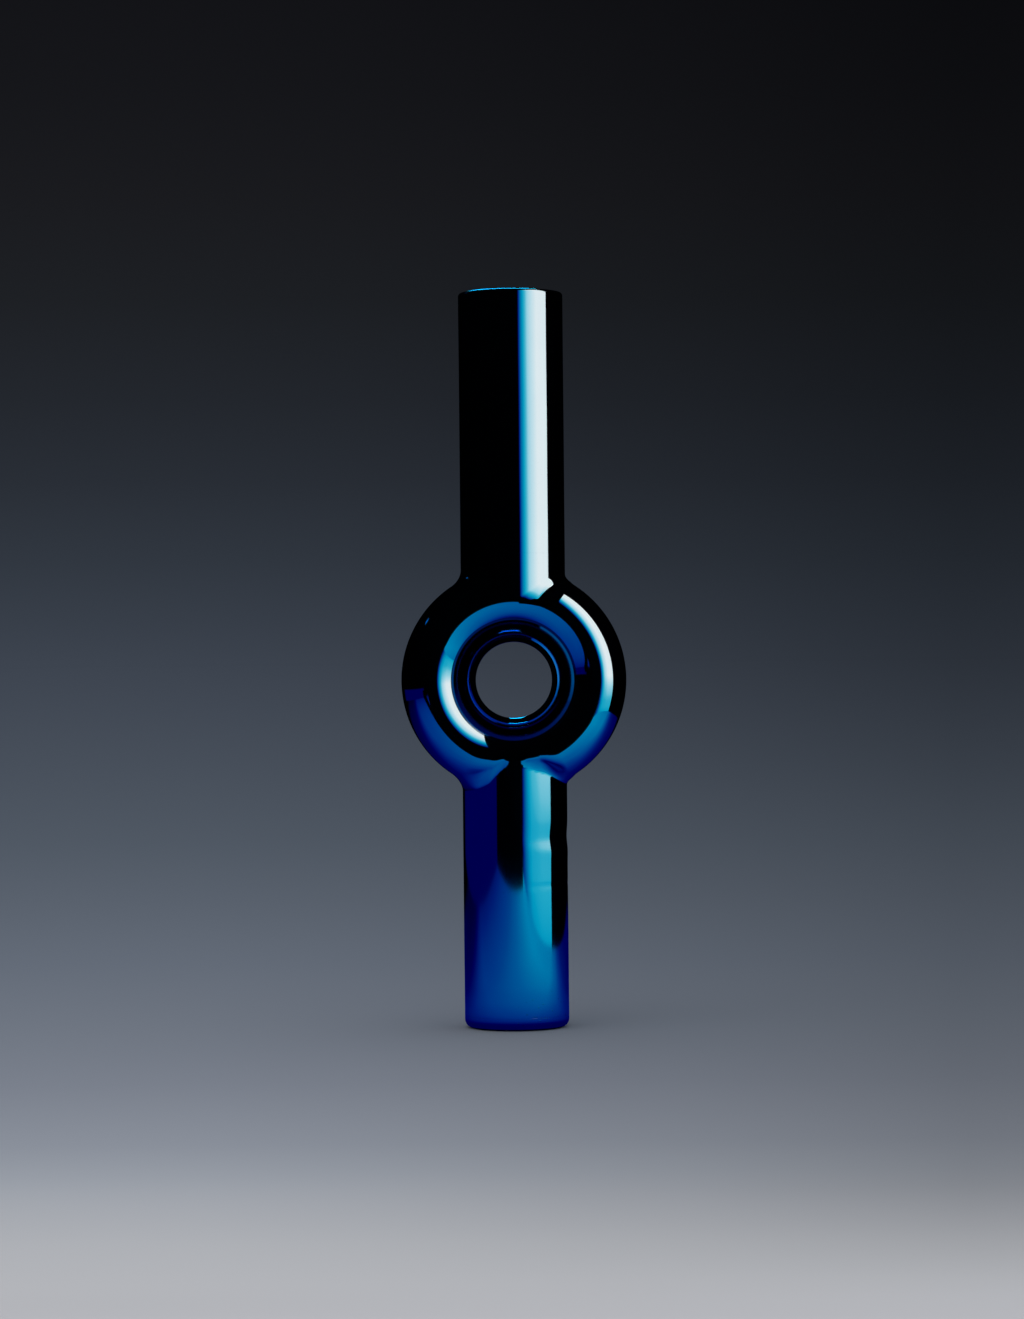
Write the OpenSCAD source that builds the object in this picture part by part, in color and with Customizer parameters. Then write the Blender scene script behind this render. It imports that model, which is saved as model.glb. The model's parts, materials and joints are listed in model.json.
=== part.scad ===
// Guitar slide: a long open barrel and a short closed barrel on a hollow ring with a finger hole.
// Z runs up the barrels, Y runs through the ring's hole with the front at -Y, and the base stands on z = 0.

/* [Barrels] */
// Outside diameter of both barrels
barrel_d = 25; // [24:0.5:26]
// Bore of both barrels, which takes a finger
bore_d = 20; // [19:0.5:20.5]
// Height from the base to the open mouth
total_h = 175.4; // [165:0.1:190]
// Rounding of the mouth's lip
lip_r = 0.8; // [0.4:0.1:1]

/* [Ring] */
// Height of the ring's centre above the base
ring_z = 82.9; // [78:0.1:90]
// Outside diameter of the ring
ring_d = 53.8; // [52:0.1:56]
// Diameter of the hole through the ring, at its throat
hole_d = 18.2; // [17.4:0.1:18.8]
// Wall of the ring's shells and of the eyelet
shell_wall = 2; // [1.6:0.1:2.2]
// Radius of the hollow corner where a barrel runs into the ring
neck_fillet = 5; // [4:0.5:6]

/* [Base] */
// Rounding of the base's outer edge
base_r = 2; // [1:0.1:2.4]
// Height of the base cap's rim below the lower barrel
cap_h = 3; // [2.6:0.1:4]

/* [Hidden] */
$fn = 96;

barrel_r = barrel_d / 2;
bore_r = bore_d / 2;
ring_r = ring_d / 2;
hole_r = hole_d / 2;

// The ring's section: a crest circle in front and behind, a full outer side and a funnel into the hole
crest_r = 20;                          // radius of the crest, from the ring's centre
half_depth = barrel_r - 0.1;           // crest's distance from the ring's middle plane
side_power = 2.6;                      // superellipse power of the outer side
shoulder_r = 6.2;                      // rounding from the crest into the funnel
funnel_angle = 54;                     // slope of the funnel from the ring's plane
throat_half = 1;                       // half the length of the hole's straight throat
section_steps = 10;                    // points along each curve of the section
throat_steps = 6;                      // points along the rounding into the throat

// The necks end on flat faces, and a sleeve bridges each joint inside
upper_reach = 30;                      // from the ring's centre to the upper neck's end face
lower_reach = 38.4;                    // from the ring's centre to the lower neck's end face
neck_root = 17;                        // where the neck solid starts, inside the ring
neck_steps = 8;                        // points along the neck's hollow corner
neck_taper = 0.7;                      // how much shallower the neck is at its root than the barrel
neck_over = 0.1;                       // how far the taper runs past the barrel's surface
taper_end = 29;                        // where the taper ends, from the ring's centre
sleeve_wall = 1;
sleeve_inset = 6;                      // length of the sleeve inside the neck
sleeve_grip = 8;                       // length of the sleeve inside the barrel
seat_r = bore_r + sleeve_wall;

cap_spigot_h = 4;
cut = 0.5;                             // how far a cutting solid runs past the face it opens
reach = 80;                            // larger than the ring in every direction

// Quarter superellipse from the outer edge to the crest, as [radius, depth]
function side_curve(edge, depth) = [
    for (i = [0 : section_steps])
        let (
            a = 90 * i / section_steps,
            out = pow(cos(a), 2 / side_power),
            up = pow(sin(a), 2 / side_power)
        )
        [crest_r + (edge - crest_r) * out, depth * up]
];

// Arc from the crest down to the start of the funnel, at a distance inside the shoulder's surface
function shoulder_curve(inset) = [
    for (i = [1 : section_steps])
        let (a = funnel_angle * i / section_steps)
        [
            crest_r - (shoulder_r - inset) * sin(a),
            half_depth - shoulder_r + (shoulder_r - inset) * cos(a)
        ]
];

function mirrored(points) = [
    for (i = [len(points) - 1 : -1 : 0]) [points[i][0], -points[i][1]]
];

// Where the shells stop and the eyelet begins: on the outside and on the inside
seam_out = shoulder_curve(0)[section_steps - 1];
seam_in = shoulder_curve(shell_wall)[section_steps - 1];

// Rounding between the funnel and the straight throat, which fills what depth is left
funnel_run = seam_out[0] - hole_r;
throat_r = (seam_out[1] - throat_half - funnel_run * tan(funnel_angle))
    / (cos(funnel_angle) - (1 - sin(funnel_angle)) * tan(funnel_angle));
throat_curve = [
    for (i = [0 : throat_steps])
        let (a = funnel_angle + (90 - funnel_angle) * i / throat_steps)
        [hole_r + throat_r * (1 - sin(a)), throat_half + throat_r * cos(a)]
];

// The eyelet's hidden side runs parallel to the funnel down to a plain tube round the throat
eyelet_back_r = hole_r + shell_wall;
back_corner = [
    eyelet_back_r,
    seam_in[1] - (seam_in[0] - eyelet_back_r) * tan(funnel_angle)
];

shell_half = concat(side_curve(ring_r, half_depth), shoulder_curve(0), [seam_in]);
cavity_half = concat(
    side_curve(ring_r - shell_wall, half_depth - shell_wall),
    shoulder_curve(shell_wall),
    [back_corner]
);
eyelet_half = concat([seam_in, seam_out], throat_curve);

// Turns a [radius, depth] section round the hole's axis
module turned_on_hole(points) {
    translate([0, 0, ring_z])
        rotate([90, 0, 0])
            rotate_extrude()
                polygon(points);
}

module ring_solid() {
    turned_on_hole(concat(shell_half, mirrored(shell_half)));
}

module ring_cavity() {
    turned_on_hole(concat(cavity_half, mirrored(cavity_half)));
}

// Flared neck that runs from the ring up to a round end face of the barrel's diameter
module neck(end_z) {
    fillet_x = barrel_r + neck_fillet;
    fillet_z = sqrt(pow(ring_r + neck_fillet, 2) - pow(fillet_x, 2));
    fillet_end = atan2(fillet_z, fillet_x);
    flare = [
        for (i = [0 : neck_steps])
            let (a = 180 + fillet_end * i / neck_steps)
            [fillet_x + neck_fillet * cos(a), fillet_z + neck_fillet * sin(a)]
    ];
    intersection() {
        rotate_extrude()
            polygon(concat(
                [[0, neck_root], [0, end_z], [barrel_r, end_z]],
                flare,
                [[flare[neck_steps][0], neck_root]]
            ));
        rotate([90, 0, 90])
            linear_extrude(reach, center = true)
                polygon([
                    [neck_taper - barrel_r, neck_root], [barrel_r - neck_taper, neck_root],
                    [barrel_r + neck_over, taper_end], [barrel_r + neck_over, end_z + cut],
                    [-barrel_r - neck_over, end_z + cut], [-barrel_r - neck_over, taper_end]
                ]);
    }
}

// Bore that runs from one neck to the other, with a wider seat for each joint sleeve
module neck_bores() {
    translate([0, 0, ring_z - lower_reach - cut])
        cylinder(h = lower_reach + upper_reach + 2 * cut, r = bore_r);
    translate([0, 0, ring_z - lower_reach - cut])
        cylinder(h = sleeve_inset + cut, r = seat_r);
    translate([0, 0, ring_z + upper_reach - sleeve_inset])
        cylinder(h = sleeve_inset + cut, r = seat_r);
}

// Half of the hollow ring with its half necks: front is -1 for the front shell and 1 for the rear one
module ring_shell(front) {
    difference() {
        intersection() {
            union() {
                ring_solid();
                translate([0, 0, ring_z]) neck(upper_reach);
                translate([0, 0, ring_z]) rotate([180, 0, 0]) neck(lower_reach);
            }
            translate([-reach / 2, front < 0 ? -reach : 0, ring_z - reach / 2])
                cube([reach, reach, reach]);
        }
        ring_cavity();
        neck_bores();
    }
}

module ring_front_shell() {
    color([0.02, 0.16, 0.52]) ring_shell(-1);
}

module ring_rear_shell() {
    color([0.02, 0.16, 0.52]) ring_shell(1);
}

module hole_eyelet() {
    color([0.02, 0.2, 0.6])
        turned_on_hole(concat(
            eyelet_half, mirrored(eyelet_half), mirrored([back_corner]), [back_corner]
        ));
}

// Plain barrel from one height to another, with a sleeve seat at the end that meets the ring
module barrel(from_z, to_z, seat_from) {
    difference() {
        translate([0, 0, from_z])
            cylinder(h = to_z - from_z, r = barrel_r);
        translate([0, 0, from_z - cut])
            cylinder(h = to_z - from_z + 2 * cut, r = bore_r);
        translate([0, 0, seat_from])
            cylinder(h = sleeve_grip + cut, r = seat_r);
    }
}

// Rounded lip of the mouth, as a turned ring
module lip() {
    inner = [
        for (i = [0 : 6])
            let (a = 180 - 90 * i / 6)
            [bore_r + lip_r + lip_r * cos(a), total_h - lip_r + lip_r * sin(a)]
    ];
    outer = [
        for (i = [0 : 6])
            let (a = 90 - 90 * i / 6)
            [barrel_r - lip_r + lip_r * cos(a), total_h - lip_r + lip_r * sin(a)]
    ];
    rotate_extrude()
        polygon(concat(
            [[bore_r, total_h - 2 * lip_r]], inner, outer, [[barrel_r, total_h - 2 * lip_r]]
        ));
}

module upper_barrel() {
    color([0.02, 0.16, 0.52]) {
        barrel(ring_z + upper_reach, total_h - 2 * lip_r, ring_z + upper_reach - cut);
        lip();
    }
}

module lower_barrel() {
    color([0.02, 0.16, 0.52])
        barrel(cap_h, ring_z - lower_reach, ring_z - lower_reach - sleeve_grip);
}

// Turned cap that closes the lower barrel, with a spigot inside it
module base_cap() {
    edge = [
        for (i = [0 : 10])
            let (a = -90 + 90 * i / 10)
            [barrel_r - base_r + base_r * cos(a), base_r + base_r * sin(a)]
    ];
    color([0.02, 0.16, 0.52])
        rotate_extrude()
            polygon(concat(
                [[0, 0]], edge,
                [
                    [barrel_r, cap_h], [bore_r, cap_h],
                    [bore_r, cap_h + cap_spigot_h], [bore_r - 2, cap_h + cap_spigot_h],
                    [bore_r - 2, cap_h], [0, cap_h]
                ]
            ));
}

// Thin sleeve inside a joint, flush with both bores
module joint_sleeve(from_z) {
    color([0.72, 0.6, 0.32])
        difference() {
            translate([0, 0, from_z])
                cylinder(h = sleeve_inset + sleeve_grip, r = seat_r);
            translate([0, 0, from_z - cut])
                cylinder(h = sleeve_inset + sleeve_grip + 2 * cut, r = bore_r);
        }
}

module upper_joint_sleeve() {
    joint_sleeve(ring_z + upper_reach - sleeve_inset);
}

module lower_joint_sleeve() {
    joint_sleeve(ring_z - lower_reach - sleeve_grip);
}

upper_barrel();
lower_barrel();
base_cap();
ring_front_shell();
ring_rear_shell();
hole_eyelet();
upper_joint_sleeve();
lower_joint_sleeve();
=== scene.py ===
import bpy
import json
import math
import numpy as np
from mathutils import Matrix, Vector


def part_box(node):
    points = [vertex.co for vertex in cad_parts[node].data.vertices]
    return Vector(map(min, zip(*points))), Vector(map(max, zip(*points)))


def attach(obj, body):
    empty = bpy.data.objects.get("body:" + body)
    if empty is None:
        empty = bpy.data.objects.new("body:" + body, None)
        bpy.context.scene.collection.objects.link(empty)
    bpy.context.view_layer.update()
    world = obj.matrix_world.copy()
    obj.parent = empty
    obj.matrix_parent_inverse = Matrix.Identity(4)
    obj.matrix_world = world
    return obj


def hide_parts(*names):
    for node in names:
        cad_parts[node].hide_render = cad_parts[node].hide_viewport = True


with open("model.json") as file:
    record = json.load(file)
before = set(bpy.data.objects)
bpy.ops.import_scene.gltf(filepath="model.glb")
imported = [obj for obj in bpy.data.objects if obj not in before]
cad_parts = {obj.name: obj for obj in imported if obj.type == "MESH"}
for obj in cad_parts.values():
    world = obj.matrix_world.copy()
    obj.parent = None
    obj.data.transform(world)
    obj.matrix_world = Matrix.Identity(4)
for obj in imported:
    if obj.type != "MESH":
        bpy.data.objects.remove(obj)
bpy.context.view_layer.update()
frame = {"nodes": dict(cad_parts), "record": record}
mm = 0.001

# sizes that come from the frame, in millimetres
shellLow, shellHigh = (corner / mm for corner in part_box("ring_front_shell"))
eyeletLow, eyeletHigh = (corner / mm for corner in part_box("hole_eyelet"))
barrelLow, barrelHigh = (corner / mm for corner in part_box("upper_barrel"))
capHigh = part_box("base_cap")[1] / mm
mounts = {mount["name"]: mount for mount in frame["record"]["mounts"]}

ringZ = (eyeletLow.z + eyeletHigh.z) / 2
ringRadius = (shellHigh.x - shellLow.x) / 2
neckUp = shellHigh.z - ringZ
neckDown = ringZ - shellLow.z
barrelRadius = (barrelHigh.x - barrelLow.x) / 2
mouthZ = barrelHigh.z
boreRadius = mounts["finger_bore"]["dims"]["r_mm"]
holeRadius = mounts["ring_hole"]["dims"]["r_mm"]
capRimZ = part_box("lower_barrel")[0].z / mm


class Wire:  # a shader socket that can stand in a sum
    def __init__(self, recipe, socket):
        self.recipe = recipe
        self.socket = socket

    def join(self, operation, first, second):
        return self.recipe.node("ShaderNodeMath", {"operation": operation}, {0: first, 1: second})

    def __add__(self, other):
        return self.join("ADD", self, other)

    def __radd__(self, other):
        return self.join("ADD", other, self)

    def __sub__(self, other):
        return self.join("SUBTRACT", self, other)

    def __rsub__(self, other):
        return self.join("SUBTRACT", other, self)

    def __mul__(self, other):
        return self.join("MULTIPLY", self, other)

    def __rmul__(self, other):
        return self.join("MULTIPLY", other, self)

    def __truediv__(self, other):
        return self.join("DIVIDE", self, other)

    def __rtruediv__(self, other):
        return self.join("DIVIDE", other, self)


class Recipe:  # one node tree and the few calls that fill it
    def __init__(self, tree):
        self.tree = tree
        tree.nodes.clear()

    def node(self, kind, settings=None, values=None, out=0):
        made = self.tree.nodes.new(kind)
        for key, value in (settings or {}).items():
            if key == "stops":
                self.fillRamp(made.color_ramp, value)
            else:
                setattr(made, key, value)
        for key, value in (values or {}).items():
            if isinstance(value, Wire):
                self.tree.links.new(value.socket, made.inputs[key])
            else:
                made.inputs[key].default_value = value
        return Wire(self, made.outputs[out]) if len(made.outputs) else made

    def fillRamp(self, ramp, stops):
        while len(ramp.elements) < len(stops):
            ramp.elements.new(1.0)
        for element, (place, shade) in zip(ramp.elements, stops):
            element.position = place
            element.color = shade if isinstance(shade, tuple) else (shade, shade, shade, 1)

    def mixed(self, factor, first, second):
        return self.node("ShaderNodeMix", {"data_type": "RGBA"}, {0: factor, 6: first, 7: second}, out=2)

    def ramp(self, value, stops):
        return self.node("ShaderNodeValToRGB", {"stops": stops}, {0: value})

    def tinted(self, shade, level):
        return self.node("ShaderNodeMix", {"data_type": "RGBA", "blend_type": "MULTIPLY"},
                         {0: 1.0, 6: shade, 7: level}, out=2)

    def place(self):
        return self.node("ShaderNodeTexCoord", out=3)

    def noise(self, where, scale, detail=3.0, roughness=0.5):
        values = {"Vector": where, "Scale": scale, "Detail": detail, "Roughness": roughness}
        return self.node("ShaderNodeTexNoise", None, values)

    def bump(self, height, distance, strength=1.0, normal=None):
        values = {"Height": height, "Distance": distance, "Strength": strength}
        if normal is not None:
            values["Normal"] = normal
        return self.node("ShaderNodeBump", None, values)

    def surface(self, values):
        shader = self.node("ShaderNodeBsdfPrincipled", None, values)
        self.node("ShaderNodeOutputMaterial", None, {"Surface": shader})


def newMaterial(name):
    material = bpy.data.materials.new(name)
    material.use_nodes = True
    return material, Recipe(material.node_tree)


def gridMesh(name, points, skinNormals=None):
    rows, columns = points.shape[:2]  # points is rows x columns x 3, in millimetres, closed both ways
    index = np.arange(rows * columns).reshape(rows, columns)
    down, across = np.roll(index, -1, 0), np.roll(index, -1, 1)
    corner = np.roll(down, -1, 1)
    faces = np.stack([index, across, corner, down], -1).reshape(-1, 4)
    normals = gridNormals(points)
    flat = points.reshape(-1, 3)
    fans = [np.cross(flat[faces[:, k]], flat[faces[:, k + 1]]) for k in (1, 2)]
    if (flat[faces[:, 0]] * (fans[0] + fans[1])).sum() < 0:  # the signed volume says which way is out
        faces, normals = faces[:, ::-1], -normals
    if skinNormals is not None:
        normals[:len(skinNormals)] = skinNormals
    return buildMesh(name, flat, faces.tolist(), normals.reshape(-1, 3))


def gridNormals(points):
    alongRows = np.roll(points, -1, 0) - np.roll(points, 1, 0)
    alongColumns = np.roll(points, -1, 1) - np.roll(points, 1, 1)
    normals = np.cross(alongColumns, alongRows)
    return normals / np.maximum(np.linalg.norm(normals, axis=-1, keepdims=True), 1e-12)


def buildMesh(name, points, faces, normals):
    mesh = bpy.data.meshes.new(name)
    mesh.from_pydata((points * mm).tolist(), [], faces)
    mesh.polygons.foreach_set("use_smooth", [True] * len(mesh.polygons))
    mesh.normals_split_custom_set_from_vertices(normals.tolist())
    mesh.update()
    piece = bpy.data.objects.new(name, mesh)
    bpy.context.collection.objects.link(piece)
    return piece


def roundedLoop(corners, longest=2.0, turnStep=9.0):
    # corners are (radius, height, rounding), and the loop closes on itself
    loop = []
    count = len(corners)
    for i, (r, z, rounding) in enumerate(corners):
        here = np.array([r, z])
        before = np.array(corners[i - 1][:2])
        after = np.array(corners[(i + 1) % count][:2])
        arriving = (here - before) / np.linalg.norm(here - before)
        leaving = (after - here) / np.linalg.norm(after - here)
        turn = math.acos(float(np.clip(arriving @ leaving, -1, 1)))
        reach = rounding * math.tan(turn / 2)
        start, end = here - arriving * reach, here + leaving * reach
        side = np.array([-arriving[1], arriving[0]])
        side = side if side @ leaving > 0 else -side
        centre = start + side * rounding
        steps = max(2, math.ceil(math.degrees(turn) / turnStep))
        if loop:
            loop += straightBetween(loop[-1], start, longest)
        for k in range(steps + 1):
            swing = turn * k / steps
            loop.append(centre - side * rounding * math.cos(swing) + arriving * rounding * math.sin(swing))
    loop += straightBetween(loop[-1], loop[0], longest)
    return np.array(loop)


def straightBetween(start, end, longest):
    steps = math.ceil(float(np.linalg.norm(end - start)) / longest)
    return [start + (end - start) * k / steps for k in range(1, steps)]


def turnedMesh(name, loop):  # turned round the barrels' axis, with their slight waves
    segments = barrelShape["segments"]
    angles = np.arange(segments) * 2 * math.pi / segments
    r, z = loop[:, :1], loop[:, 1:]
    r = r * barrelRadiusAt(z, angles[None]) / barrelRadius
    points = np.stack([r * np.sin(angles), -r * np.cos(angles), z + 0 * angles * r], -1)
    return gridMesh(name, points)


def eased(value, start, end):
    t = np.clip((value - start) / (end - start), 0, 1)
    return t * t * (3 - 2 * t)


# barrels: the angle is measured from the front towards +X
barrelShape = {
    "sway": 0.03,           # how far the wall wanders in and out
    "swaySlow": 0.09,       # how fast it does, in radians to the millimetre
    "swayQuick": 0.21,
    "pinch": 0.24,          # depth of the pinch where the lower barrel joins its neck
    "pinchWidth": 2.4,
    "pinchAbove": 1.0,      # the pinch lies this far above the joint
    "pinchSide": 75,        # where round the barrel the pinch is deepest, in degrees
    "pinchFocus": 14,       # a higher value keeps it nearer that side
    "swell": 0.35,          # the slight swelling below it, as a share of the pinch
    "swellBelow": 2.2,
    "groove": 0.06,         # a faint groove lower down on the same side
    "grooveZ": 33.9,
    "grooveLean": 0.5,
    "grooveWidth": 0.55,
    "grooveSide": 1.4,      # in radians
    "lipRounding": 0.75,
    "jointRounding": 0.006,
    "jointGap": 0.004,
    "baseRounding": 2.0,
    "spigotGap": 0.05,
    "spigotWall": 2.0,
    "spigotRounding": 0.3,
    "axisHole": 0.004,      # the base's rows stop this close to the axis
    "segments": 256,
}
jointZ = ringZ - neckDown


def barrelRadiusAt(z, angle):
    s = barrelShape
    slow = np.sin(z * s["swaySlow"] + 1.3) * np.cos(angle - 0.6)
    quick = np.sin(z * s["swayQuick"] + 2 * angle) * 0.4
    sway = s["sway"] * (slow + quick - 1.4) * 0.5
    deep = np.exp(-((z - jointZ - s["pinchAbove"]) / s["pinchWidth"]) ** 2)
    swell = np.exp(-((z - jointZ + s["swellBelow"]) / (s["pinchWidth"] * 0.8)) ** 2) * s["swell"]
    around = np.cos((angle - math.radians(s["pinchSide"])) / 2) ** s["pinchFocus"]
    fade = np.clip((ringZ + neckUp - z) / 20, 0, 1)
    pinch = s["pinch"] * (deep - swell) * around * fade
    fromGroove = z - s["grooveZ"] - s["grooveLean"] * np.sin(angle)
    groove = s["groove"] * np.exp(-(fromGroove / s["grooveWidth"]) ** 2)
    groove = groove * eased(np.cos(angle - s["grooveSide"]), 0.35, 0.8)
    return barrelRadius + sway - pinch - groove


# ring: angles beside a neck are in degrees from its middle, and the right is +X
ringShape = {
    "crestBelow": 0.02,     # the crest lies this far behind the barrels' front
    "crestOuter": 19.9,     # it is flat between these two radii
    "crestInner": 19.15,
    "sidePower": 2.2,
    "shoulder": 6.2,        # rounding from the crest into the funnel
    "seam": 14.85,          # radius where the shells end and the eyelet begins
    "upperBlend": 2.6,      # rounding of the necks into the ring
    "lowerBlend": 3.0,
    "tuckTop": (0.3, 3.2),  # how far the ring draws in beside a neck, on the left and on the right
    "tuckLow": (1.0, 4.4),
    "crestTop": (0.2, 2.2),  # and how far its crest does
    "crestLow": (0.7, 1.3),
    "fadeLeft": (12, 29),   # where that ends
    "fadeRight": (17, 31),
    "turnTop": (-7, 7),     # where the left value gives way to the right one
    "turnLow": (-15, -7),
    "softTop": 1.2,         # extra rounding on the right, towards the front
    "softTopFrom": (4, 9),
    "softLow": 2.5,         # the same in the middle of the lower neck
    "softLowFrom": (-5, -1),
    "softLowUntil": (1, 4),
    "leastBlend": 0.02,
    "wall": 2.0,
    "gap": 0.006,           # half the hairline between the two shells
    "edgeRoll": 0.02,
    "rows": 76,
    "rowPower": 2.4,        # a higher value crowds the rows towards the outline
    "sideColumns": 300,
    "endColumns": 56,
}
crestDepth = barrelRadius - ringShape["crestBelow"]


def smoothUnion(first, second, blend):
    overlap = np.clip(1 - np.abs(first - second) / blend, 0, None)
    return np.maximum(first, second) + overlap * overlap * blend / 4


def tuckedIn(x, z, top, low):  # top and low each hold a value for the left and one for the right
    s = ringShape

    def beside(fromNeck, values, turn):
        left = values[0] * (1 - eased(-fromNeck, *s["fadeLeft"]))
        right = values[1] * (1 - eased(fromNeck, *s["fadeRight"]))
        return left + (right - left) * eased(fromNeck, *turn)
    fromTop = np.degrees(np.arctan2(x, z))
    fromLow = np.degrees(np.arctan2(x, -z))
    return np.where(z > 0, beside(fromTop, top, s["turnTop"]), beside(fromLow, low, s["turnLow"]))


def ringField(x, y, z):  # above zero inside the ring and its necks; z is from the ring's centre
    s = ringShape
    crest = s["crestOuter"] - tuckedIn(x, z, s["crestTop"], s["crestLow"])
    run = ringRadius - tuckedIn(x, z, s["tuckTop"], s["tuckLow"]) - crest
    t = np.clip((np.hypot(x, z) - crest) / run, 0, None)
    n = s["sidePower"]
    ring = (1 - t ** n - (np.abs(y) / crestDepth) ** n) * run / n
    r = barrelRadiusAt(z + ringZ, np.arctan2(x, -y))
    barrel = (1 - (x * x + y * y) / (r * r)) * r / 2
    side = np.where(z > 0, s["upperBlend"], s["lowerBlend"])
    softTop = s["softTop"] * eased(x, *s["softTopFrom"])
    softLow = s["softLow"] * eased(x, *s["softLowFrom"]) * (1 - eased(x, *s["softLowUntil"]))
    forward = np.clip(np.abs(y) / crestDepth, 0, 1)
    soft = np.where(z > 0, softTop, softLow) * eased(forward, 0.1, 0.6) * (1 - forward ** 8)
    blend = side * (1 - forward ** 6) + soft + s["leastBlend"]
    return smoothUnion(ring, barrel, blend)


def rootBetween(inside, outside, field):  # halves the interval until it holds the surface
    for _ in range(46):
        middle = (inside + outside) / 2
        within = field(middle) > 0
        inside, outside = np.where(within, middle, inside), np.where(within, outside, middle)
    return (inside + outside) / 2


def outlineRadius(angles):  # the ring's outline, seen from the front, without the cut ends of the necks
    def field(rho):
        return ringField(rho * np.cos(angles), 0 * rho, rho * np.sin(angles))
    return rootBetween(np.full_like(angles, ringShape["crestOuter"]), np.full_like(angles, 60.0), field)


def evenAngles(start, end, count):  # angles that space the outline's points evenly
    fine = np.linspace(start, end, 4000)
    rho = outlineRadius(fine)
    length = np.hypot(np.diff(rho * np.cos(fine)), np.diff(rho * np.sin(fine)))
    along = np.concatenate([[0], np.cumsum(length)])
    return np.interp(np.linspace(0, along[-1], count), along, fine)


def shellColumns():
    s = ringShape
    half = math.pi / 2
    halfWidth = {
        (end, side): float(barrelRadiusAt(ringZ + end, np.array(side * half)))
        for end in (neckUp, -neckDown) for side in (1, -1)
    }
    topRight = math.atan2(neckUp, halfWidth[neckUp, 1])
    topLeft = math.atan2(neckUp, -halfWidth[neckUp, -1])
    lowLeft = 2 * math.pi - math.atan2(neckDown, -halfWidth[-neckDown, -1])
    lowRight = -math.atan2(neckDown, halfWidth[-neckDown, 1])
    right = evenAngles(lowRight, topRight, s["sideColumns"])
    left = evenAngles(topLeft, lowLeft, s["sideColumns"])
    swing = np.linspace(0, math.pi, s["endColumns"] + 1)[1:-1]
    topX = (halfWidth[neckUp, 1] - halfWidth[neckUp, -1]) / 2 + halfWidth[neckUp, 1] * np.cos(swing)
    lowX = halfWidth[-neckDown, 1] * np.where(swing > half, -np.cos(swing), 0)
    lowX = lowX - halfWidth[-neckDown, -1] * np.where(swing <= half, np.cos(swing), 0)
    top = np.arctan2(neckUp, topX)
    low = np.arctan2(-neckDown, lowX)
    angles = np.concatenate([right, top, left, low])
    radii = np.concatenate([
        outlineRadius(right), np.hypot(topX, neckUp), outlineRadius(left), np.hypot(lowX, neckDown)
    ])
    return angles, radii


def shellMesh(name, front):
    s = ringShape
    angles, radii = shellColumns()
    steps = np.linspace(0, 1, s["rows"])
    steps = np.concatenate([[0, 0.004], steps[1:-1], [0.997, 1]])[:, None]
    rho = s["seam"] + (radii - s["seam"]) * (1 - (1 - steps) ** s["rowPower"])
    x, z = rho * np.cos(angles), rho * np.sin(angles)

    def field(height):
        return ringField(x, height * front, z)
    height = rootBetween(np.zeros_like(x), np.full_like(x, barrelRadius + 1), field)
    drop = np.clip(s["crestInner"] - rho, 0, None)
    shoulder = crestDepth - s["shoulder"] + np.sqrt(s["shoulder"] ** 2 - drop ** 2)
    onShoulder = (drop > 0) & (shoulder <= height)
    height = np.where(onShoulder, shoulder, height)

    tiny = 1e-4
    y = height * front
    slope = np.stack([
        ringField(x - tiny, y, z) - ringField(x + tiny, y, z),
        ringField(x, y - tiny, z) - ringField(x, y + tiny, z),
        ringField(x, y, z - tiny) - ringField(x, y, z + tiny),
    ], -1)
    slope[..., 1] = np.where(height < tiny, 0, slope[..., 1])
    lean = drop / s["shoulder"]
    bowl = np.stack([-lean * np.cos(angles), front * np.sqrt(1 - lean ** 2), -lean * np.sin(angles)], -1)
    normals = np.where(onShoulder[..., None], bowl, slope)
    normals = normals / np.maximum(np.linalg.norm(normals, axis=-1, keepdims=True), 1e-12)

    skin = np.stack([x, y, z], -1)
    inner = skin - normals * s["wall"]
    skin[0] -= normals[0] * s["edgeRoll"]
    skin[-1] -= normals[-1] * s["edgeRoll"]
    rim = (skin[-1] * 0.9 + inner[-1] * 0.1)[None]
    seamRim = (skin[0] * 0.9 + inner[0] * 0.1)[None]
    points = np.concatenate([skin, rim, inner[-1:], inner[-4:3:-4], inner[:1], seamRim])
    points[..., 1] += front * s["gap"]
    points[..., 2] += ringZ
    return gridMesh(name, points, normals)


eyeletShape = {
    "edgeGap": 0.02,        # hairline between the shell and the eyelet
    "edgeBelow": 0.01,      # the eyelet lies this far below the shell's surface
    "edgeDepth": 0.9,
    "edgeRounding": 0.03,
    "collar": 0.8,          # the eyelet goes on this far in line with the shell
    "foldRadius": 11.3,     # where the funnel turns steeper
    "foldDepth": 5.9,
    "foldRounding": 1.1,
    "throatHalf": 1.0,
    "throatRounding": 1.2,
    "backWall": 1.2,
    "backHalf": 4.5,
    "backRounding": 0.4,
}


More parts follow.
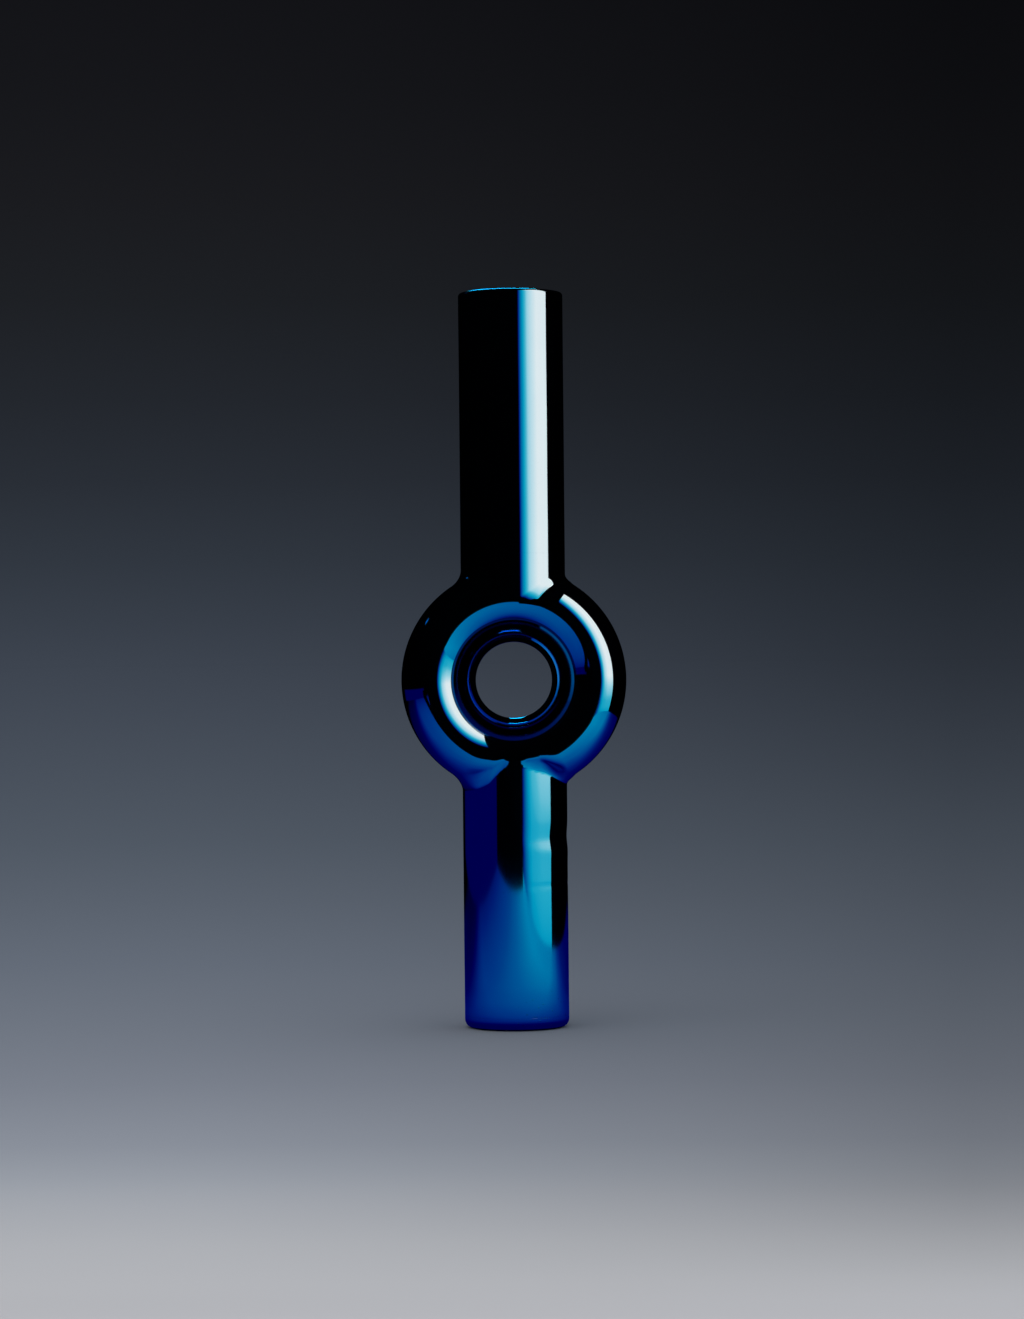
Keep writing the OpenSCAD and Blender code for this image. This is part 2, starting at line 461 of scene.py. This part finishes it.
def eyeletMesh(name):
    e, s = eyeletShape, ringShape
    lean = math.asin((s["crestInner"] - s["seam"]) / s["shoulder"])
    height = crestDepth - s["shoulder"] + s["shoulder"] * math.cos(lean) + s["gap"]
    along = np.array([-math.cos(lean), -math.sin(lean)])
    proud = np.array([-math.sin(lean), math.cos(lean)])
    seam = np.array([s["seam"], height])
    start = seam + along * e["edgeGap"] - proud * e["edgeBelow"]
    half = [
        (*(start - proud * e["edgeDepth"]), 0.05),
        (*start, e["edgeRounding"]),
        (*(start + along * e["collar"]), 0.5),
        (e["foldRadius"], e["foldDepth"], e["foldRounding"]),
        (holeRadius, e["throatHalf"], e["throatRounding"]),
    ]
    backs = [(holeRadius + e["backWall"], y, e["backRounding"]) for y in (-e["backHalf"], e["backHalf"])]
    other = [(r, -y, rounding) for r, y, rounding in reversed(half)]
    loop = roundedLoop(half + other + backs, longest=0.8, turnStep=6.0)
    angles = np.arange(360) * 2 * math.pi / 360
    r, y = loop[:, :1], loop[:, 1:]
    points = np.stack([r * np.cos(angles), y + 0 * angles, ringZ + r * np.sin(angles)], -1)
    return gridMesh(name, points)


def upperBarrelMesh(name):
    b = barrelShape
    foot = ringZ + neckUp + b["jointGap"]
    return turnedMesh(name, roundedLoop([
        (boreRadius, foot, b["jointRounding"]),
        (barrelRadius, foot, b["jointRounding"]),
        (barrelRadius, mouthZ, b["lipRounding"]),
        (boreRadius, mouthZ, b["lipRounding"]),
    ]))


def lowerBarrelMesh(name):
    b = barrelShape
    return turnedMesh(name, roundedLoop([
        (boreRadius, capRimZ + b["jointGap"], b["jointRounding"]),
        (barrelRadius, capRimZ + b["jointGap"], b["jointRounding"]),
        (barrelRadius, jointZ - b["jointGap"], b["jointRounding"]),
        (boreRadius, jointZ - b["jointGap"], b["jointRounding"]),
    ], longest=0.6))


def baseCapMesh(name):
    b = barrelShape
    spigot = boreRadius - b["spigotGap"]
    recess = boreRadius - b["spigotWall"]
    axis = b["axisHole"]
    loop = roundedLoop([
        (axis, 0, 0.001),
        (barrelRadius, 0, b["baseRounding"]),
        (barrelRadius, capRimZ - b["jointGap"], b["jointRounding"]),
        (spigot, capRimZ - b["jointGap"], 0.1),
        (spigot, capHigh.z, b["spigotRounding"]),
        (recess, capHigh.z, b["spigotRounding"]),
        (recess, capRimZ, b["spigotRounding"]),
        (axis, capRimZ, 0.001),
    ], longest=0.6)
    return turnedMesh(name, loop)


# the blue mirror finish
blueLook = {
    "blue": (0.02, 0.22, 0.62, 1),
    "deep": (0.017, 0.20, 0.585, 1),
    "edge": (0.12, 0.5, 0.85, 1),  # the edges of the finish stay blue too
    # painted shade: a darker blue in the hole's funnel that stands in for the shade there
    "funnel": (0.006, 0.07, 0.22, 1),
    "funnelFrom": 11.4,     # painted shade: the funnel is darker from this radius outwards, in millimetres
    "roughness": 0.03,
    "cloudRoughness": 0.02,
    "lowRoughness": 0.05,   # added near the base
    "waveSize": 0.022,      # metres from one slow wave of the surface to the next
    "waveDepth": 0.000012,
    "pit": (0.004, 0.03, 0.12, 1),
    "pitShade": 0.75,
    "pitReach": 0.040,      # height above the base where the pits stop
    "pitSize": 0.0011,
    "pitDepth": 0.00002,
}


def blueMirror(name, strong, weak, paintedShadeOutside=None):
    b = blueLook
    material, kit = newMaterial(name)
    where = kit.place()
    height = kit.node("ShaderNodeSeparateXYZ", None, {0: where}, out=2)
    low = kit.ramp(height / b["pitReach"], [(0.0, 1.0), (0.5, 0.6), (1.0, 0.0)])
    cloud = kit.noise(where, 60.0, 4.0)
    cells = {"Vector": where, "Scale": 1 / b["pitSize"]}
    speck = kit.node("ShaderNodeTexVoronoi", {"feature": "F1"}, cells)
    patches = kit.ramp(cloud, [(0.48, 0.0), (0.62, 1.0)])
    pits = kit.ramp(speck, [(0.0, 1.0), (0.10, 0.8), (0.16, 0.0)]) * patches * low
    colour = kit.mixed(cloud, weak, strong)
    # painted shade: outside this radius the colour turns to the darker funnel blue
    if paintedShadeOutside is not None:
        level = kit.node("ShaderNodeVectorMath", {"operation": "MULTIPLY"}, {0: where, 1: (1, 0, 1)})
        centre = {0: level, 1: (0, 0, ringZ * mm)}
        radius = kit.node("ShaderNodeVectorMath", {"operation": "DISTANCE"}, centre, out=1)
        outside = kit.ramp((radius / mm - paintedShadeOutside) * 2.0, [(0.0, 0.0), (1.0, 1.0)])
        colour = kit.mixed(outside, colour, b["funnel"])
    colour = kit.mixed(pits * b["pitShade"], colour, b["pit"])
    waves = kit.noise(where, 1 / b["waveSize"], 1.0)
    normal = kit.bump(waves, b["waveDepth"])
    normal = kit.bump(pits, b["pitDepth"], 0.5, normal)
    kit.surface({
        "Base Color": colour,
        "Metallic": 1.0,
        "Specular Tint": b["edge"],
        "Roughness": b["roughness"] + cloud * b["cloudRoughness"] + low * b["lowRoughness"] * cloud,
        "Normal": normal,
    })
    return material


# the hidden sleeves
brassLook = {
    "bright": (0.75, 0.58, 0.28, 1),
    "tarnished": (0.55, 0.40, 0.16, 1),
    "tarnishScale": 180.0,
    "turningScale": 900.0,  # fine lines left by the lathe
    "turningDepth": 0.00001,
    "roughness": 0.3,
    "tarnishRoughness": 0.15,
}


def sleeveBrass():
    b = brassLook
    material, kit = newMaterial("sleeveBrass")
    where = kit.place()
    turning = {"Vector": where, "Scale": b["turningScale"]}
    lines = kit.node("ShaderNodeTexWave", {"bands_direction": "Z"}, turning)
    tarnish = kit.noise(where, b["tarnishScale"])
    kit.surface({
        "Base Color": kit.mixed(tarnish, b["tarnished"], b["bright"]),
        "Metallic": 1.0,
        "Roughness": b["roughness"] + tarnish * b["tarnishRoughness"],
        "Normal": kit.bump(lines, b["turningDepth"], 0.4),
    })
    return material


def dress(piece, material, slotName, *nodes):
    piece.data.materials.clear()
    piece.data.materials.append(material)
    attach(piece, "root")
    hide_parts(*nodes)
    print("made", piece.name, len(piece.data.polygons), "faces")


blue = blueMirror("blueMirror", blueLook["blue"], blueLook["deep"])
# the eyelet's finish, with painted shade in its funnel
funnelBluePaintedShade = blueMirror("funnelMirror", blueLook["blue"], blueLook["deep"], blueLook["funnelFrom"])
dress(upperBarrelMesh("upperBarrel"), blue, "blue_mirror", "upper_barrel")
dress(lowerBarrelMesh("lowerBarrel"), blue, "blue_mirror", "lower_barrel")
dress(baseCapMesh("baseCap"), blue, "blue_mirror", "base_cap")
dress(shellMesh("ringFrontShell", -1), blue, "blue_mirror", "ring_front_shell")
dress(shellMesh("ringRearShell", 1), blue, "blue_mirror", "ring_rear_shell")
dress(eyeletMesh("holeEyelet"), funnelBluePaintedShade, "blue_mirror", "hole_eyelet")

brass = sleeveBrass()
for nodeName in ("upper_joint_sleeve", "lower_joint_sleeve"):
    sleeve = frame["nodes"][nodeName]
    sleeve.data.materials.clear()
    sleeve.data.materials.append(brass)
print("finished the slide's pieces")


# the stage: a pale floor with painted light falloff, a soft light on the right and dark cards that only
# reflections see
stageLook = {
    "floorX": (-40.0, 40.0),
    "floorY": (-70.0, 70.0),
    "toneNear": 0.28,        # nearness is this over the distance from a line in front of the object
    "toneLine": 0.84,
    "toneLevelAt": -0.6,     # in front of this depth the tone stays the same
    "toneBackAt": -1.0,      # and from here towards the front it fades again
    "floorFade": [           # painted light falloff: tone of the floor against its nearness to the front edge, lighter near the front
        (0.0, (0.0367, 0.0454, 0.0615, 1)), (0.0369, (0.0427, 0.0526, 0.0706, 1)),
        (0.0916, (0.0524, 0.0645, 0.085, 1)), (0.1645, (0.0667, 0.0818, 0.1056, 1)),
        (0.219, (0.0824, 0.0982, 0.1253, 1)), (0.274, (0.1003, 0.1178, 0.1492, 1)),
        (0.3285, (0.1247, 0.1425, 0.1751, 1)), (0.383, (0.153, 0.1701, 0.2063, 1)),
        (0.438, (0.1973, 0.2157, 0.2531, 1)), (0.465, (0.2371, 0.2562, 0.2918, 1)),
        (0.4925, (0.2902, 0.3041, 0.3355, 1)), (0.529, (0.3538, 0.3637, 0.3899, 1)),
        (0.565, (0.3998, 0.4074, 0.4338, 1)), (0.60, (0.42, 0.425, 0.453, 1)),
    ],
    "wallFade": [            # painted light falloff: tone of the wall against its height above the horizon, darker higher up
        (0.0, (0.0367, 0.0454, 0.0615, 1)), (0.045, (0.0312, 0.0389, 0.0528, 1)),
        (0.114, (0.0242, 0.0304, 0.041, 1)), (0.205, (0.0176, 0.0215, 0.0289, 1)),
        (0.297, (0.0134, 0.0159, 0.0209, 1)), (0.411, (0.0100, 0.0113, 0.0140, 1)),
        (0.525, (0.0082, 0.0086, 0.0106, 1)), (0.639, (0.0063, 0.0066, 0.0083, 1)),
        (0.75, (0.0052, 0.0054, 0.0069, 1)), (1.0, (0.004, 0.004, 0.005, 1)),
    ],
    # painted side light: the wall is lighter on the left and darker on the right
    "wallAcross": [
        (0.113, 1.28), (0.233, 1.24), (0.362, 1.17), (0.644, 0.91), (0.773, 0.76), (0.884, 0.65),
    ],
    # painted side light: the floor is lighter on the left and darker on the right
    "floorAcross": [
        (0.113, 1.18), (0.233, 1.165), (0.362, 1.11), (0.644, 0.95), (0.773, 0.85), (0.884, 0.76),
    ],
    "evenLight": (1.0, 1.0, 1.0, 1),
    "mirroredX": (-0.43, 1.6),
    "mirroredY": (-3.0, 1.2),
    "mirroredZ": 0.0004,
    "glow": 40.0,
    "cameraSide": -0.0004,
    "cameraBack": 0.8373,    # metres in front of the object's middle
    "cameraHeight": 0.0878,
    "focalRatio": 3500 / 1319,
    "lean": 0.56,            # degrees
}


def cardMesh(name, corners, faces=((0, 1, 2, 3),)):
    mesh = bpy.data.meshes.new(name)
    mesh.from_pydata([tuple(corner) for corner in corners], [], faces)
    mesh.update()
    card = bpy.data.objects.new(name, mesh)
    bpy.context.collection.objects.link(card)
    return card


def standingCard(name, feet, low, high):  # a card that follows the feet, given as (x, y)
    corners = [(x, y, z) for z in (low, high) for x, y in feet]
    count = len(feet)
    faces = [(k, k + 1, count + k + 1, count + k) for k in range(count - 1)]
    return seenOnlyInReflections(cardMesh(name, corners, faces))


def seenOnlyInReflections(thing):
    thing.visible_camera = False
    thing.visible_diffuse = False
    thing.visible_shadow = False
    thing.visible_transmission = False
    return thing


def studioGlow(kit, level):  # level 0 is dark and level 1 is the brightest part of the soft light
    shade = kit.ramp(level, [
        (0.00, (0, 0, 0, 1)),
        (0.10, (0, 0, 0.0038, 1)),
        (0.20, (0, 0.0013, 0.0070, 1)),
        (0.30, (0, 0.0041, 0.0095, 1)),
        (0.45, (0, 0.0111, 0.0129, 1)),
        (0.55, (0, 0.0194, 0.0158, 1)),
        (0.62, (0, 0.0253, 0.0180, 1)),
        (0.72, (0.0004, 0.0383, 0.0220, 1)),
        (0.80, (0.0188, 0.0450, 0.0233, 1)),
        (0.86, (0.095, 0.0558, 0.0258, 1)),
        (0.93, (0.40, 0.075, 0.0313, 1)),
        (1.00, (0.97, 0.0973, 0.0355, 1)),
    ])
    kit.surface({
        "Base Color": (0, 0, 0, 1),
        "Roughness": 1.0,
        "Specular IOR Level": 0.0,
        "Emission Color": shade,
        "Emission Strength": stageLook["glow"],
    })


def makeFloor():
    s = stageLook
    (x0, x1), (y0, y1) = s["floorX"], s["floorY"]
    floor = cardMesh("floor", [(x0, y0, 0), (x1, y0, 0), (x1, y1, 0), (x0, y1, 0)])
    floor.visible_glossy = False
    material, kit = newMaterial("paleFloor")
    where = kit.place()
    side = kit.node("ShaderNodeSeparateXYZ", None, {0: where}, out=0)
    depth = kit.node("ShaderNodeSeparateXYZ", None, {0: where}, out=1)
    behind = kit.node("ShaderNodeMath", {"operation": "MAXIMUM"}, {0: s["toneBackAt"] - depth, 1: 0.0})
    level = kit.node("ShaderNodeMath", {"operation": "MAXIMUM"}, {0: depth, 1: s["toneLevelAt"]})
    away = level + behind + s["toneLine"]
    near = s["toneNear"] / away
    sideways = side / away * 3.0 + 0.5
    across = kit.mixed(
        kit.ramp(near, [(0.0, 0.0), (0.16, 1.0)]),
        kit.ramp(sideways, s["wallAcross"]), kit.ramp(sideways, s["floorAcross"]),
    )
    across = kit.mixed(kit.ramp(near, [(0.48, 0.0), (0.58, 1.0)]), across, (1, 1, 1, 1))
    # painted light falloff: the floor's colour is lighter near the front and on the left, and darker far
    # back
    kit.surface({
        "Base Color": kit.tinted(kit.ramp(near, s["floorFade"]), across),
        "Roughness": 0.9,
        "Specular IOR Level": 0.0,
    })
    floor.data.materials.append(material)


def makeMirroredFloor():  # what the polished metal sees of the floor, brighter beside the soft light
    s = stageLook
    (x0, x1), (y0, y1), z = s["mirroredX"], s["mirroredY"], s["mirroredZ"]
    card = cardMesh("mirroredFloor", [(x0, y0, z), (x1, y0, z), (x1, y1, z), (x0, y1, z)])
    material, kit = newMaterial("mirroredGlow")
    where = kit.place()
    side = kit.node("ShaderNodeSeparateXYZ", None, {0: where}, out=0)
    depth = kit.node("ShaderNodeSeparateXYZ", None, {0: where}, out=1)
    away = kit.node("ShaderNodeVectorMath", {"operation": "LENGTH"}, {0: where}, out=1)
    across = kit.ramp(side + 0.6, [
        (0.17, 0.15), (0.22, 0.18), (0.37, 0.27), (0.5, 0.34), (0.58, 0.43),
        (0.67, 0.52), (0.75, 0.62), (0.80, 0.60), (1.0, 0.45),
    ])
    along = kit.ramp(depth + 0.6, [
        (0.0, 1.0), (0.40, 1.0), (0.56, 0.9), (0.60, 0.7), (0.63, 0.45),
        (0.67, 0.25), (0.74, 0.18), (0.90, 0.14), (1.0, 0.0),
    ])
    around = kit.ramp(away * 8.0, [(0.1, 0.2), (0.2, 0.45), (0.36, 0.72), (0.6, 0.9), (1.0, 1.0)])
    studioGlow(kit, across * along * around)
    card.data.materials.append(material)
    seenOnlyInReflections(card)


softbox = {
    "feet": [(0.166, -0.60), (0.240, -0.031)],  # the first foot is nearest the camera
    "height": 0.51,
}


def makeSoftbox():
    s = softbox
    front, back = (foot[1] for foot in s["feet"])
    card = standingCard("softbox", s["feet"], 0.001, s["height"])
    material, kit = newMaterial("softboxGlow")
    where = kit.place()
    depth = kit.node("ShaderNodeSeparateXYZ", None, {0: where}, out=1)
    height = kit.node("ShaderNodeSeparateXYZ", None, {0: where}, out=2)
    along = kit.ramp((depth - front) / (back - front), [
        (0.0, 0.0), (0.05, 0.15), (0.22, 0.5), (0.42, 0.8), (0.56, 0.93), (0.80, 1.0), (1.0, 1.0),
    ])
    upward = kit.ramp(height * 5.0, [
        (0.0, 0.71), (0.04, 0.76), (0.075, 0.80), (0.15, 0.815), (0.22, 0.88), (0.35, 0.95), (0.45, 1.0),
    ])
    studioGlow(kit, along * upward)
    card.data.materials.append(material)


def plainGlow(name, level):
    material, kit = newMaterial(name)
    studioGlow(kit, level)
    return material


# small cards, each with its glow, its feet as (x, y) and its lowest and highest edges
glowLevels = {"darkCard": 0.0, "dimCard": 0.08, "windowGlow": 0.45}
smallCards = [
    ("darkBehindCamera", "darkCard", [(-0.134, -0.50), (0.139, -0.50)], (0, 1.2)),
    ("darkBesideSoftbox", "darkCard", [(0.241, -0.033), (0.20, 0.5)], (0, 1.2)),
    ("darkBeforeTable", "darkCard", [(-0.48, -0.50), (-0.134, -0.50)], (0, 0.041)),
    ("dimBesideTable", "dimCard", [(-0.431, -0.62), (-0.431, 0.60)], (0, 0.045)),
    # painted shade: a black card in the object's own shade behind the hole, seen only in reflections
    # through the hole
    ("darkBehindHole", "darkCard", [(-0.016, 0.0135), (0.016, 0.0135)],
     (ringZ * mm - 0.018, ringZ * mm - 0.0005)),
    ("sideWindow", "windowGlow", [(-0.68, 0.50), (-0.73, 0.41)], (0.54, 0.59)),
]


def makeSmallCards():
    glows = {name: plainGlow(name, level) for name, level in glowLevels.items()}
    for name, glow, feet, (low, high) in smallCards:
        standingCard(name, feet, low, high).data.materials.append(glows[glow])


# a light high up behind the object, seen in the lip and in the foot of the hole
rearLight = {
    "corners": [(-0.14, 0.64, 0.68), (0.06, 0.64, 0.68), (0.06, 0.68, 0.50), (-0.14, 0.68, 0.50)],
    "shade": (1, 0.13, 0.08, 1),  # the finish turns this into a pale blue
    "strength": 190.0,
}


def makeRearLight():
    material, kit = newMaterial("rearGlow")
    kit.surface({
        "Base Color": (0, 0, 0, 1),
        "Specular IOR Level": 0.0,
        "Emission Color": rearLight["shade"],
        "Emission Strength": rearLight["strength"],
    })
    seenOnlyInReflections(cardMesh("rearLight", rearLight["corners"])).data.materials.append(material)


overheadLight = {
    "place": (-0.2, -0.3, 1.0),
    "size": 0.6,
    "power": 1.2,
}


def makeOverheadLight():
    s = overheadLight
    lamp = bpy.data.lights.new("overheadLight", "AREA")
    lamp.shape = "DISK"
    lamp.size = s["size"]
    lamp.energy = s["power"]
    light = bpy.data.objects.new("overheadLight", lamp)
    light.location = s["place"]
    light.rotation_euler = (-Vector(s["place"])).to_track_quat("-Z", "Y").to_euler()
    light.visible_camera = False
    light.visible_glossy = False
    bpy.context.collection.objects.link(light)


def makeWorld():  # an even light for the floor, a dark room for the metal and a wall behind it all with painted light falloff, darker higher up and towards the right
    world = bpy.data.worlds.new("studio")
    bpy.context.scene.world = world
    world.use_nodes = True
    kit = Recipe(world.node_tree)
    where = kit.node("ShaderNodeTexCoord", out=0)
    side = kit.node("ShaderNodeSeparateXYZ", None, {0: where}, out=0)
    up = kit.node("ShaderNodeSeparateXYZ", None, {0: where}, out=2)
    # painted light falloff on the wall, seen only by the camera
    paintedWallFalloff = kit.ramp(up * 4.0, stageLook["wallFade"])
    across = kit.ramp(side * 3.0 + 0.5, stageLook["wallAcross"])
    wall = kit.tinted(paintedWallFalloff, across)
    seen = kit.node("ShaderNodeLightPath", out=0)
    mirrored = kit.node("ShaderNodeLightPath", out=3)
    room = kit.mixed(mirrored, stageLook["evenLight"], (0, 0, 0, 1))
    glow = kit.node("ShaderNodeBackground", None, {"Color": kit.mixed(seen, room, wall), "Strength": 1.0})
    kit.node("ShaderNodeOutputWorld", None, {"Surface": glow})


def makeCamera():
    s = stageLook
    lens = bpy.data.cameras.new("camera")
    lens.sensor_width = 36
    lens.lens = 36 * s["focalRatio"]
    lens.clip_start, lens.clip_end = 0.01, 100
    camera = bpy.data.objects.new("camera", lens)
    camera.location = (s["cameraSide"], -s["cameraBack"], s["cameraHeight"])
    camera.rotation_euler = (math.radians(90), math.radians(s["lean"]), 0)
    bpy.context.collection.objects.link(camera)
    bpy.context.scene.camera = camera


makeCamera()
makeFloor()
makeMirroredFloor()
makeSoftbox()
makeSmallCards()
makeRearLight()
makeWorld()
makeOverheadLight()
bpy.context.scene.view_settings.view_transform = "Standard"
bpy.context.scene.view_settings.look = "None"
print("finished the stage")
